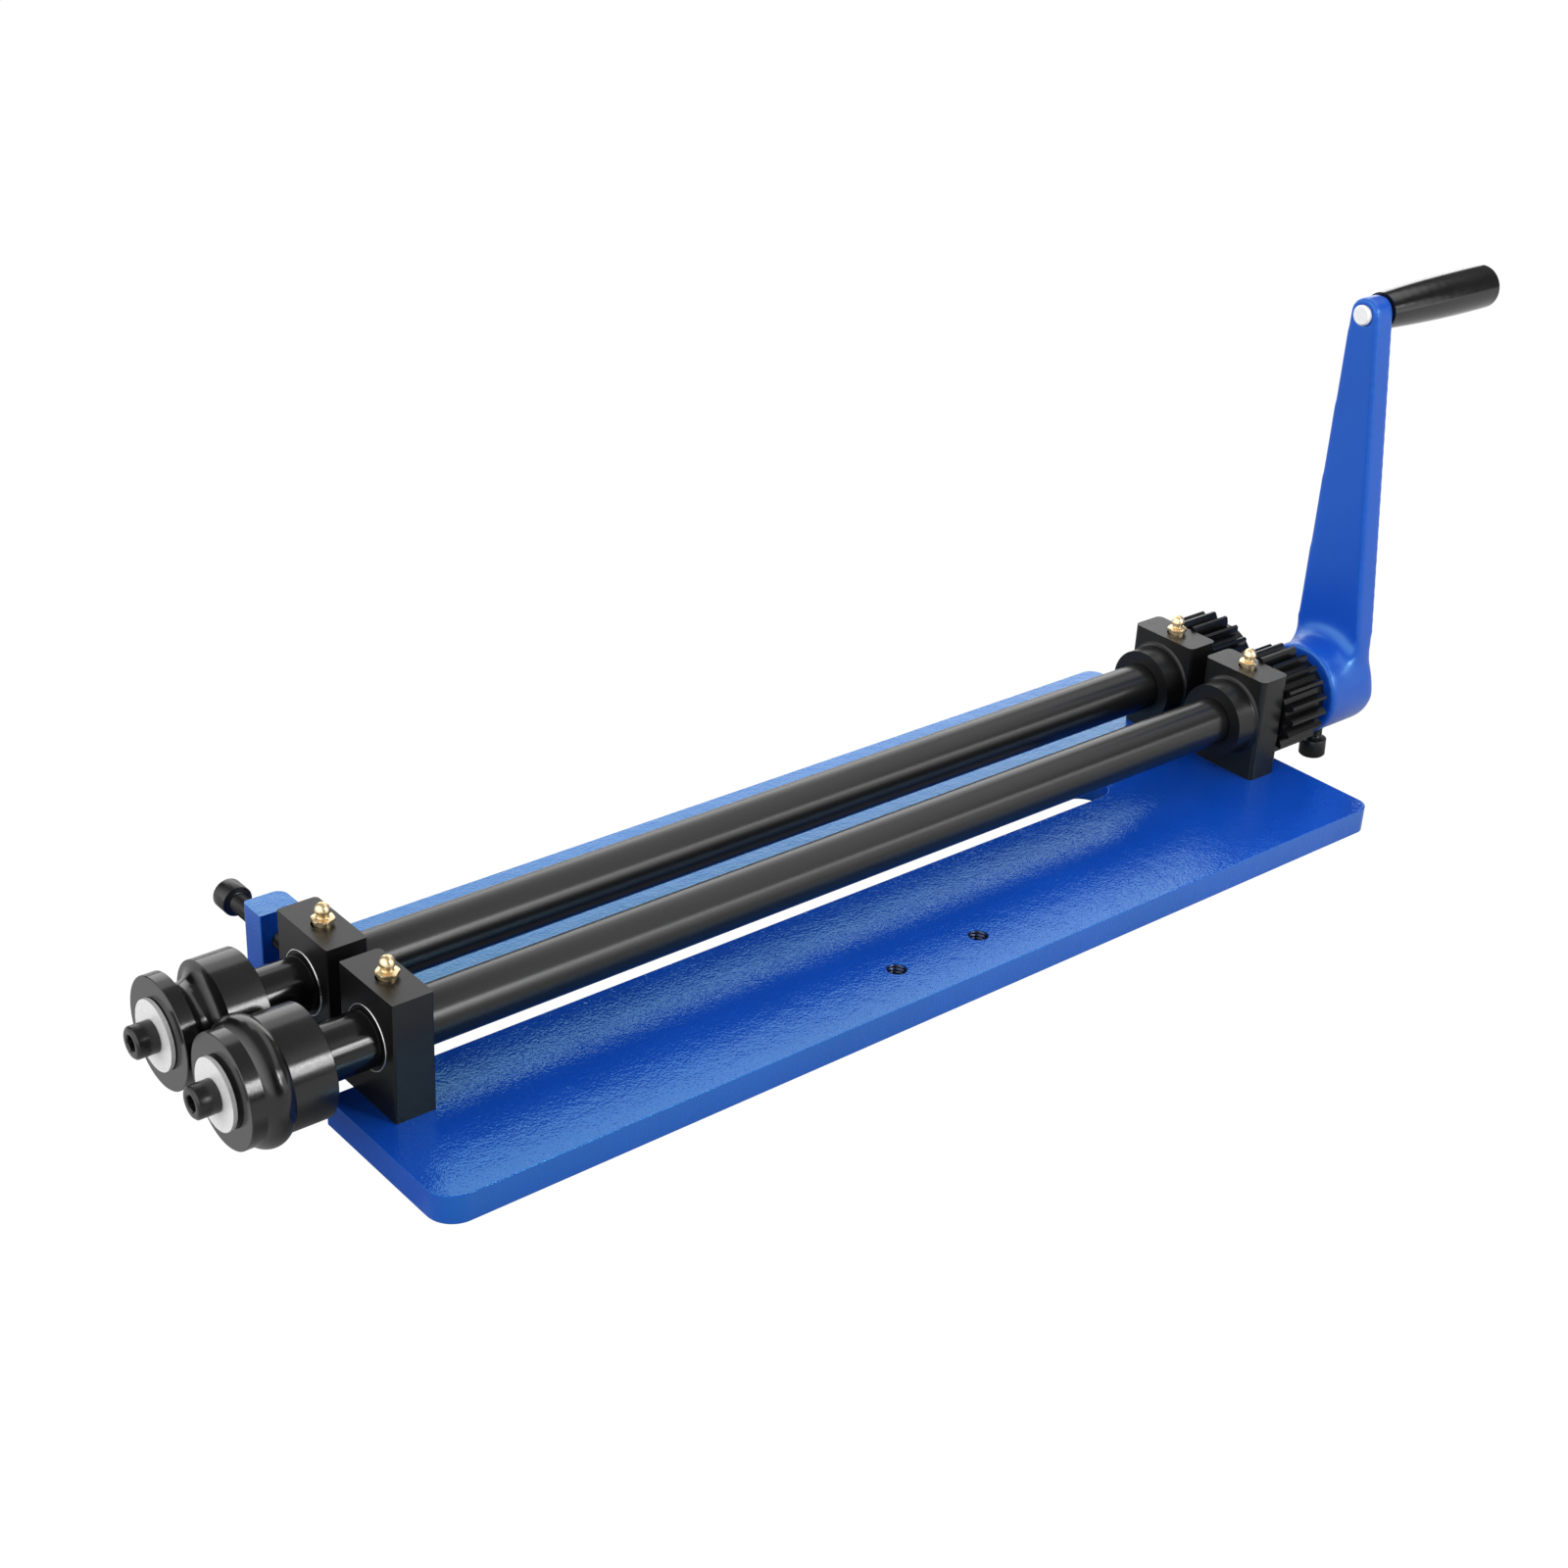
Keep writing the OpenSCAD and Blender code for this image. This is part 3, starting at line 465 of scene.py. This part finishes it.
def makeNipple(nodeName, corner):
    n = nipple
    low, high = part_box(nodeName)
    x = (low[0] + high[0]) / 2 / mm + n["shiftX"]
    y = (low[1] + high[1]) / 2 / mm + n["shiftY"]
    base, bottom, top = n["blockTop"], low[2] / mm, high[2] / mm
    hexFrom, hexTo, domeFrom = (base + n[key] for key in ("hexFrom", "hexTo", "domeFrom"))
    flatR, cornerR, footR, neckR, domeR = (n[key] for key in ("hexFlatR", "cornerR", "footR", "neckR", "domeR"))
    stations = [
        (bottom, 0.0), (bottom, n["threadR"]), (base - 0.3, n["threadR"]), (base - 0.3, footR),
        (hexFrom - 0.1, footR), (hexFrom, footR - 0.1), (hexFrom, flatR, 1.0, cornerR - 0.2),
        (hexFrom + 0.15, flatR, 1.0, cornerR), (hexTo - 0.25, flatR, 1.0, cornerR),
        (hexTo - 0.1, flatR, 1.0, cornerR - 0.25), (hexTo, flatR - 0.05, 1.0, cornerR - 0.5),
        (hexTo + 0.25, neckR + 0.5), (hexTo + 0.45, neckR + 0.1), (hexTo + 0.6, neckR),
        (domeFrom, neckR), (domeFrom, domeR - 0.15),
    ]
    # the dome: its radius falls from the full one at the foot to a small flat at the top, as the side of an ellipse does
    height = top - 0.15 - domeFrom
    for turn in np.linspace(0.05, 0.9, 12) * math.pi / 2:
        stations.append((domeFrom + 0.1 + height * math.sin(turn), domeR * math.cos(turn) ** 0.8))
    stations += [(top, 0.5), (top - 0.15, 0.42), (top - 0.25, 0.0)]
    obj = turnedSurface(nodeName + "_looks", "brassBright", "z", (x, y, 0.0), stations, corner=corner)
    standsFor(obj, nodeName)


for nodeName, corner in nippleCorners.items():
    makeNipple(nodeName, corner)
print("bead roller: nipples turned")


def socketHead(tip, inward, headR, headL, socketR, socketDepth, edge):
    # stations from the middle of the socket's floor out over the face and down the side to under the head
    s = inward
    return [
        (tip + s * (socketDepth + 0.9), 0.0, 1.0), (tip + s * socketDepth, socketR, 1.0), (tip + s * 0.45, socketR, 1.0),
        (tip + s * 0.02, socketR * 1.17 + 0.1), (tip, socketR * 1.17 + 0.25), (tip, headR - edge - 0.12),
        (tip + s * 0.06, headR - edge), (tip + s * edge, headR - 0.05), (tip + s * (edge + 0.2), headR),
        (tip + s * (headL - 0.35), headR), (tip + s * (headL - 0.1), headR - 0.12), (tip + s * headL, headR - 0.4),
    ]


capScrew = {
    "headR": 6.3, "socketR": 3.0, "socketDepth": 4.5, "edge": 0.75, "shankR": 4.0, "coreR": 3.72,
    "threadDepth": 0.62, "pitch": 1.25, "perPitch": 8, "tipChamfer": 0.9, "runOut": 0.8,
}
clampLean = {"degrees": -2.9, "tipZ": 0.45, "endZ": 29.5}  # the clamp screw leans with the crank


def threadedShank(start, end, radius):
    # evenly spaced stations along the shank, closed by a small cone
    count = max(4, int(abs(end - start) / capScrew["pitch"] * capScrew["perPitch"]))
    chamfer = capScrew["tipChamfer"] * (1.0 if end > start else -1.0)
    rows = [(place, radius) for place in np.linspace(start, end, count)[:-1]]
    return rows + [(end - chamfer * 0.2, radius - 0.3), (end, radius - abs(chamfer)), (end, 0.0)]


def makeCapScrew(nodeName, axis, inward, headL, corner, lean=None):
    c = capScrew
    low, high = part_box(nodeName)
    i = "xyz".index(axis)
    middle = [(a + b) / 2 / mm for a, b in zip(low, high)]
    middle[i] = 0.0
    tip, end = (low[i] / mm, high[i] / mm) if inward > 0 else (high[i] / mm, low[i] / mm)
    if lean is not None:
        middle[1], tip, end = crankAxis["y"], lean["tipZ"], lean["endZ"]
    under = tip + inward * headL
    stations = socketHead(tip, inward, c["headR"], headL, c["socketR"], c["socketDepth"], c["edge"])
    stations += [(under, c["shankR"] + 0.25)] + threadedShank(under + inward * 0.3, end, c["coreR"])
    span = sorted((under + inward * c["runOut"], end - inward * c["runOut"]))
    thread = (c["pitch"], c["threadDepth"], span[0], span[1], c["runOut"])
    obj = turnedSurface(nodeName + "_looks", "screwBlack", axis, middle, stations, corner=corner, thread=thread)
    if lean is not None:
        hub = Vector((0.0, crankAxis["y"] * mm, crankAxis["z"] * mm))
        turn = Matrix.Rotation(math.radians(lean["degrees"]), 4, "X")
        obj.data.transform(Matrix.Translation(hub) @ turn @ Matrix.Translation(-hub))
    standsFor(obj, nodeName)


makeCapScrew("front_roll_screw", "x", 1.0, 8.7, 12.0)
makeCapScrew("rear_roll_screw", "x", 1.0, 8.7, 40.0)
makeCapScrew("adjusting_screw", "y", -1.0, 9.0, 20.0)
makeCapScrew("crank_clamp_screw", "z", 1.0, 8.8, 5.0, clampLean)
print("bead roller: screws turned")


# thin bright rims of the bushes on the roll-end blocks
bushRim = {"outerR": 13.0, "innerR": 12.45, "face": -238.8, "proud": 0.3, "sunk": 0.5, "steps": 120}


def makeBushRim(nodeName):
    outer, inner, face, proud = (bushRim[key] for key in ("outerR", "innerR", "face", "proud"))
    back = face + bushRim["sunk"]
    low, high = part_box(nodeName)
    centre = (0.0, (low[1] + high[1]) / 2 / mm, (low[2] + high[2]) / 2 / mm)
    stations = [
        (back, inner - 0.1), (back, outer - 0.02), (face - proud * 0.5, outer - 0.02), (face - proud, outer - 0.15),
        (face - proud, inner + 0.08), (face - proud * 0.5, inner), (back, inner - 0.1),
    ]
    rim = turnedSurface(nodeName + "_rim", "steelBright", "x", centre, stations, bushRim["steps"])
    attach(rim, bodyOf[nodeName])


for nodeName in ("front_roll_bush", "rear_roll_bush"):
    makeBushRim(nodeName)
print("bead roller: bush rims turned")


# the thread in the two mounting holes: a ridge that climbs one pitch a turn on the wall of the hole, dark navy as
# painted shade inside the hole
holeThread = {"wallR": 4.25, "depth": 0.5, "pitch": 1.5, "top": 11.4, "bottom": 0.3, "rows": 70, "placesX": (-22.5, 22.5)}


def makeHoleThread(name, holeX):
    wall, depth, top, bottom = (holeThread[key] for key in ("wallR", "depth", "top", "bottom"))
    lowest = (bottom - 0.05, wall + 0.1)
    rows = [(place, wall - 0.02 - depth * 0.5) for place in np.linspace(bottom, top, holeThread["rows"])]
    thread = (holeThread["pitch"], depth, bottom - 0.5, top + 0.5, 0.4)
    stations = [lowest] + rows + [(top + 0.05, wall + 0.1), lowest]
    lining = turnedSurface(name, "threadShadeNavy", "z", (holeX, 0.0, 0.0), stations, thread=thread)
    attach(lining, "frame")


for number, holeX in enumerate(holeThread["placesX"], 1):
    makeHoleThread("mounting_thread_%d" % number, holeX)
print("bead roller: holes threaded")


# the room: pale floor, grey room light, soft boxes
floorLook = {
    "size": 14.0, "level": -0.0004, "colour": 0.25, "seenWhite": 0.95, "mirroredWhite": 0.78, "glow": 1.05,
    # shadowUnderMachine: a painted shadow under the machine, where the floor's white in reflections falls to the
    # shadow's share
    "shadowUnderMachine": {"X": (0.015, 0.285), "Y": (0.10, 0.10)},  # middle and half width of the dark part under the machine
    "shadowFade": 0.04, "shadowShare": 0.10,
}


def makeFloor():
    size, z = floorLook["size"], floorLook["level"]
    mesh = bpy.data.meshes.new("studioFloor")
    mesh.from_pydata([(-size, -size, z), (size, -size, z), (size, size, z), (-size, size, z)], [], [(0, 1, 2, 3)])
    obj = bpy.data.objects.new("studioFloor", mesh)
    bpy.context.scene.collection.objects.link(obj)
    mat = bpy.data.materials.new("floorWhite")
    mat.use_nodes = True
    tree = mat.node_tree
    tree.nodes.clear()
    out = tree.nodes.new("ShaderNodeOutputMaterial")
    diffuse = tree.nodes.new("ShaderNodeBsdfDiffuse")
    diffuse.inputs["Color"].default_value = (floorLook["colour"],) * 3 + (1.0,)
    glow = tree.nodes.new("ShaderNodeEmission")
    glow.inputs["Strength"].default_value = floorLook["glow"]
    # white where the camera looks straight at the floor, a little less in reflections, and in reflections a painted
    # shadow under the machine
    path = tree.nodes.new("ShaderNodeLightPath")
    mirrored = joined(tree, "MAXIMUM", path.outputs["Is Glossy Ray"], path.outputs["Is Transmission Ray"])
    mirrored = joined(tree, "MULTIPLY", mirrored, floorLook["mirroredWhite"])
    split = tree.nodes.new("ShaderNodeSeparateXYZ")
    tree.links.new(tree.nodes.new("ShaderNodeTexCoord").outputs["Object"], split.inputs["Vector"])
    outside = None
    for axis, (middle, half) in floorLook["shadowUnderMachine"].items():
        gap = joined(tree, "ABSOLUTE", joined(tree, "SUBTRACT", split.outputs[axis], middle), 0.0)
        gap = joined(tree, "SUBTRACT", gap, half)
        outside = gap if outside is None else joined(tree, "MAXIMUM", outside, gap)
    lit = rangeOf(tree, outside, floorLook["shadowShare"], 1.0, 0.0, floorLook["shadowFade"])
    mirrored = joined(tree, "MULTIPLY", mirrored, lit)
    seen = joined(tree, "MULTIPLY", path.outputs["Is Camera Ray"], floorLook["seenWhite"])
    mix = tree.nodes.new("ShaderNodeMixShader")
    tree.links.new(joined(tree, "MAXIMUM", seen, mirrored), mix.inputs["Fac"])
    tree.links.new(diffuse.outputs["BSDF"], mix.inputs[1])
    tree.links.new(glow.outputs["Emission"], mix.inputs[2])
    tree.links.new(mix.outputs["Shader"], out.inputs["Surface"])
    mesh.materials.append(mat)


roomLight = {  # name: axis looked along, where it starts, where it is full, level
    "left": ("X", -0.25, -0.9, 3.6),
    "right": ("X", 0.60, 0.95, 0.30),
    "overhead": ("Z", 0.55, 0.80, 0.40),
}


def makeWorld():
    world = bpy.data.worlds.new("studioRoom")
    bpy.context.scene.world = world
    world.use_nodes = True
    tree = world.node_tree
    tree.nodes.clear()
    out = tree.nodes.new("ShaderNodeOutputWorld")
    coords = tree.nodes.new("ShaderNodeTexCoord")
    split = tree.nodes.new("ShaderNodeSeparateXYZ")
    tree.links.new(coords.outputs["Generated"], split.inputs["Vector"])
    level = None
    for axis, start, full, brightness in roomLight.values():
        part = rangeOf(tree, split.outputs[axis], 0.0, brightness, start, full)
        level = part if level is None else joined(tree, "ADD", level, part)
    grey = tree.nodes.new("ShaderNodeBackground")
    tree.links.new(level, grey.inputs["Strength"])
    white = tree.nodes.new("ShaderNodeBackground")
    white.inputs["Color"].default_value = (1.0, 1.0, 1.0, 1.0)
    white.inputs["Strength"].default_value = 1.0
    path = tree.nodes.new("ShaderNodeLightPath")
    mix = tree.nodes.new("ShaderNodeMixShader")
    tree.links.new(path.outputs["Is Camera Ray"], mix.inputs["Fac"])
    tree.links.new(grey.outputs["Background"], mix.inputs[1])
    tree.links.new(white.outputs["Background"], mix.inputs[2])
    tree.links.new(mix.outputs["Shader"], out.inputs["Surface"])


softBoxes = {  # name: lowest corner, highest corner, way that the box faces, brightness of its face
    "backLow": ((-0.15, 1.10, 0.14), (1.90, 1.10, 0.82), (0.0, -1.0, 0.0), 2.4),
    "backHigh": ((0.10, 1.10, 0.82), (1.70, 1.10, 1.90), (0.0, -1.0, 0.0), 1.5),
    "frontStrip": ((0.36, -1.60, 0.50), (0.68, -1.60, 1.22), (0.0, 1.0, 0.0), 23.5),
    "frontWide": ((0.68, -1.60, 0.85), (2.10, -1.60, 1.25), (0.0, 1.0, 0.0), 6.2),
    "frontLow": ((0.50, -1.60, 0.02), (2.30, -1.60, 0.85), (0.0, 1.0, 0.0), 1.4),
    "aboveRight": ((0.55, -1.60, 1.60), (1.90, 0.90, 1.60), (0.0, 0.0, -1.0), 1.3),
}


def makeSoftBoxes():
    for name, (low, high, facing, brightness) in softBoxes.items():
        width = high[0] - low[0]
        height = high[2] - low[2] + high[1] - low[1]
        data = bpy.data.lights.new(name, "AREA")
        data.shape = "RECTANGLE"
        data.size = width
        data.size_y = height
        data.energy = brightness * math.pi * width * height
        obj = bpy.data.objects.new(name, data)
        middle = (Vector(low) + Vector(high)) / 2.0
        turn = Vector(facing).to_track_quat("-Z", "Y").to_matrix().to_4x4()
        obj.matrix_world = Matrix.Translation(middle) @ turn
        bpy.context.scene.collection.objects.link(obj)


makeFloor()
makeWorld()
makeSoftBoxes()
bpy.context.scene.view_settings.view_transform = "Standard"
print("bead roller: room lit")
